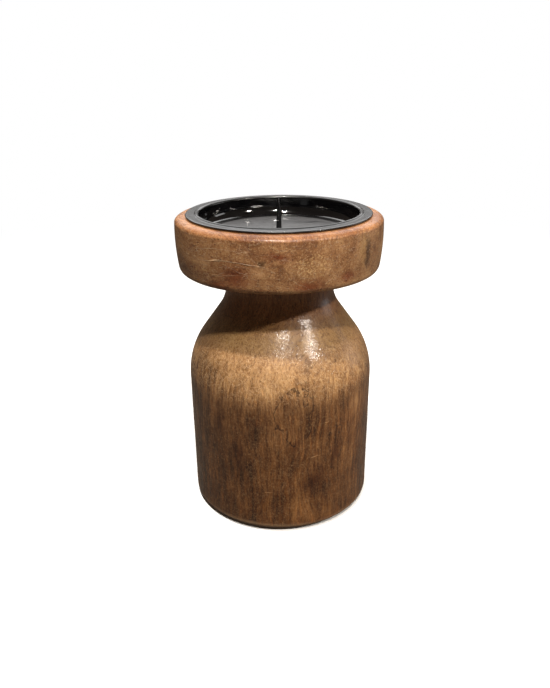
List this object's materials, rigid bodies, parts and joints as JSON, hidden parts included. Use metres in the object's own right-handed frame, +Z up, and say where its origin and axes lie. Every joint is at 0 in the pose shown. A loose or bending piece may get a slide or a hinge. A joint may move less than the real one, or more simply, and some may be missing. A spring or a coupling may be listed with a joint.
{
  "type": "pillar candle holder",
  "caption": "Turned wooden candle holder: round-shouldered base, thick round dish on top, and a lift-out black metal pan with a centre spike.",
  "frame": {"origin": "centre of the circle of felt pads, on the surface that they rest on", "axes": "+Z up along the turned axis; the part is round, so +X and +Y only point between the felt pads"},
  "size_m": [0.1, 0.1, 0.1581],
  "materials": {
    "base_wood": "clear lacquered, vertical grain with dark streaks",
    "dish_wood": "clear lacquered, mottled cross grain",
    "enamel": "gloss black enamel on pressed steel",
    "zinc": "zinc plated",
    "felt": "pressed black felt"
  },
  "bodies": {
    "stand": {"wood_base": "base_wood", "top_dish": "dish_wood", "joint_screw": "zinc", "felt_pad_1": "felt", "felt_pad_2": "felt", "felt_pad_3": "felt", "felt_pad_4": "felt"},
    "pan": {"candle_pan": "enamel", "spike": "enamel"}
  },
  "joints": [
    {"name": "pan_lift", "type": "slide", "parent": "stand", "child": "pan", "axis": [0, 0, 1], "range_m": [0, 0.04]}
  ]
}
